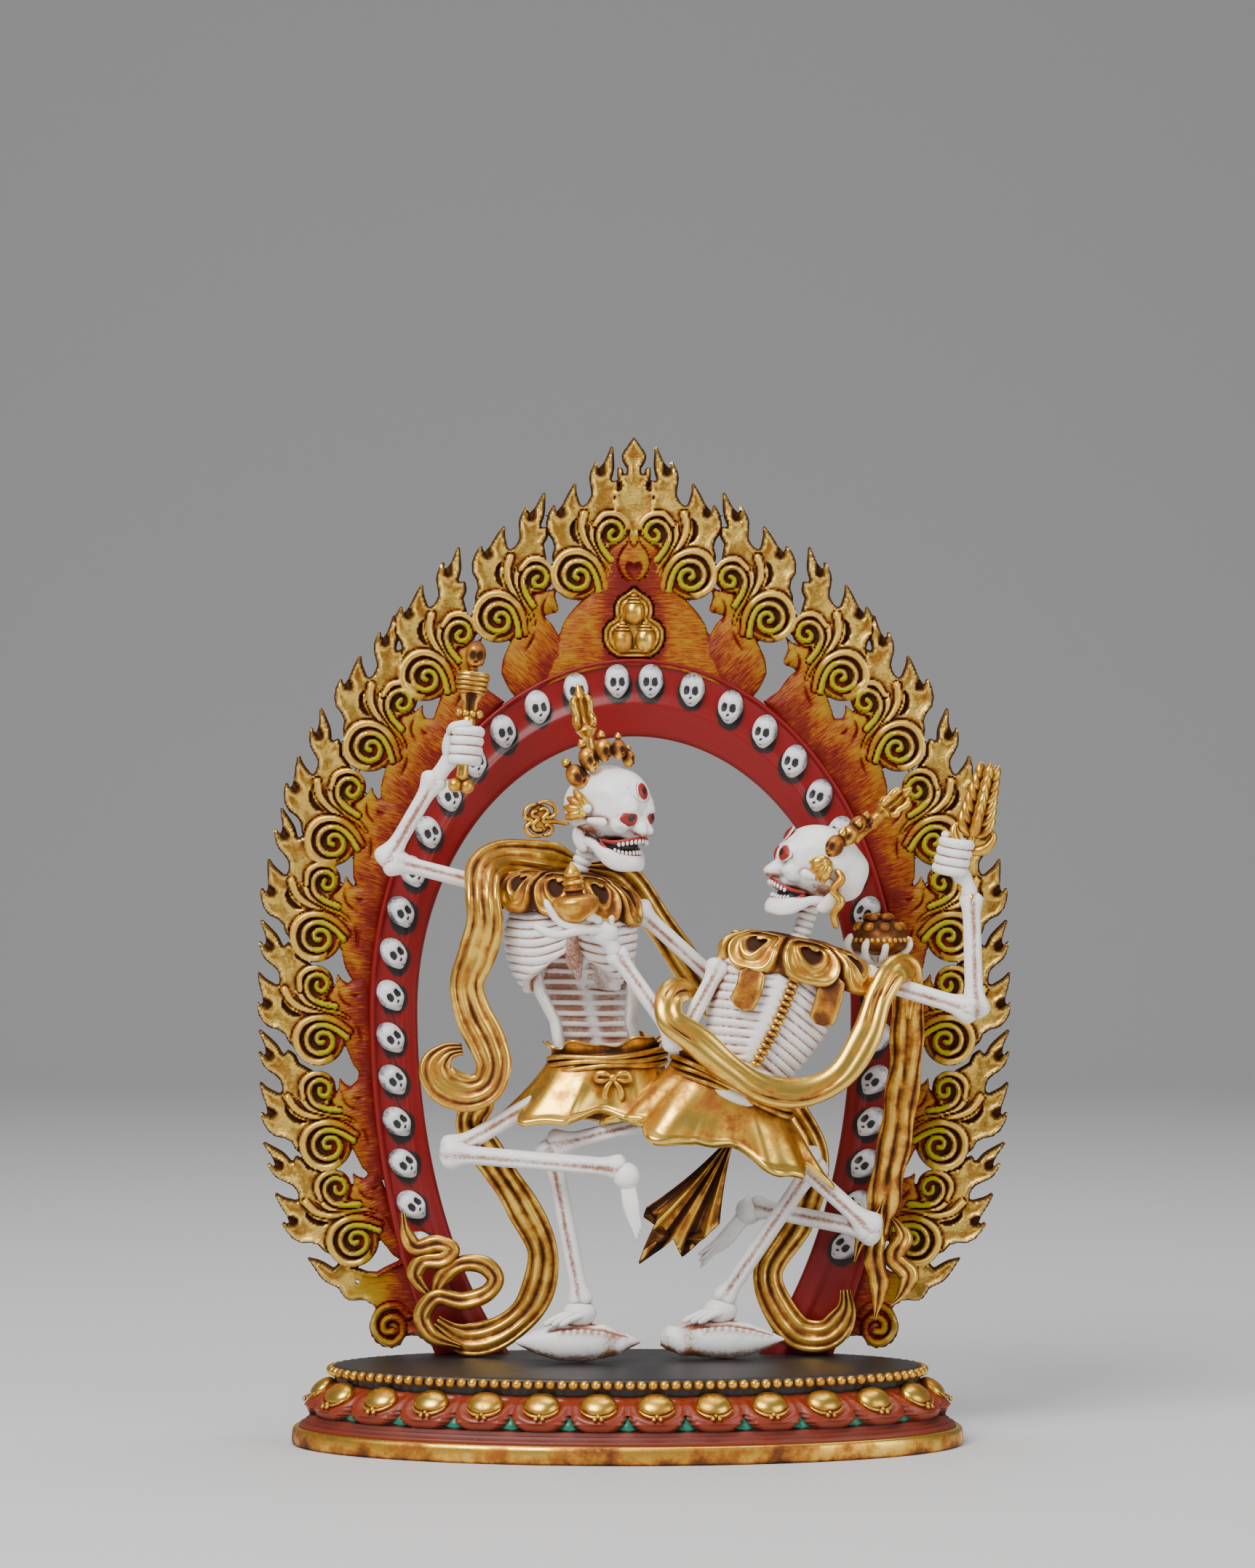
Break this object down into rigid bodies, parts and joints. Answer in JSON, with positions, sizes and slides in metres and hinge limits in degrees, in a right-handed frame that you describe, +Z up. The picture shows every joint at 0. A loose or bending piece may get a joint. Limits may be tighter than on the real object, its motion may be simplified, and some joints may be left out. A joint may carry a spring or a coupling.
{
  "type": "chitipati statue",
  "caption": "Painted and gilt statue of a dancing skeleton couple on an oval lotus base, before a flaming arch set with small skulls.",
  "frame": {"origin": "middle of the underside, on the surface the base stands on", "axes": "+Z up, -Y towards the viewer in front of the couple, +X to the viewer's right"},
  "size_m": [0.0984, 0.042, 0.1298],
  "materials": {
    "red_paint": "semi-matte red-orange paint on cast metal",
    "flame_paint": "brushed red, orange and yellow paint that turns to gilding outwards",
    "bone_paint": "satin ivory-white paint with a reddish-brown wash in the grooves",
    "gilt": "antique gilding with a brown wash in the folds",
    "black_paint": "matte black paint",
    "green_paint": "green paint"
  },
  "bodies": {
    "root": {"lotus_base": "red_paint", "flame_arch": "flame_paint", "father_skeleton": "bone_paint", "mother_skeleton": "bone_paint", "father_scarf": "gilt", "mother_scarf": "gilt"}
  },
  "joints": []
}
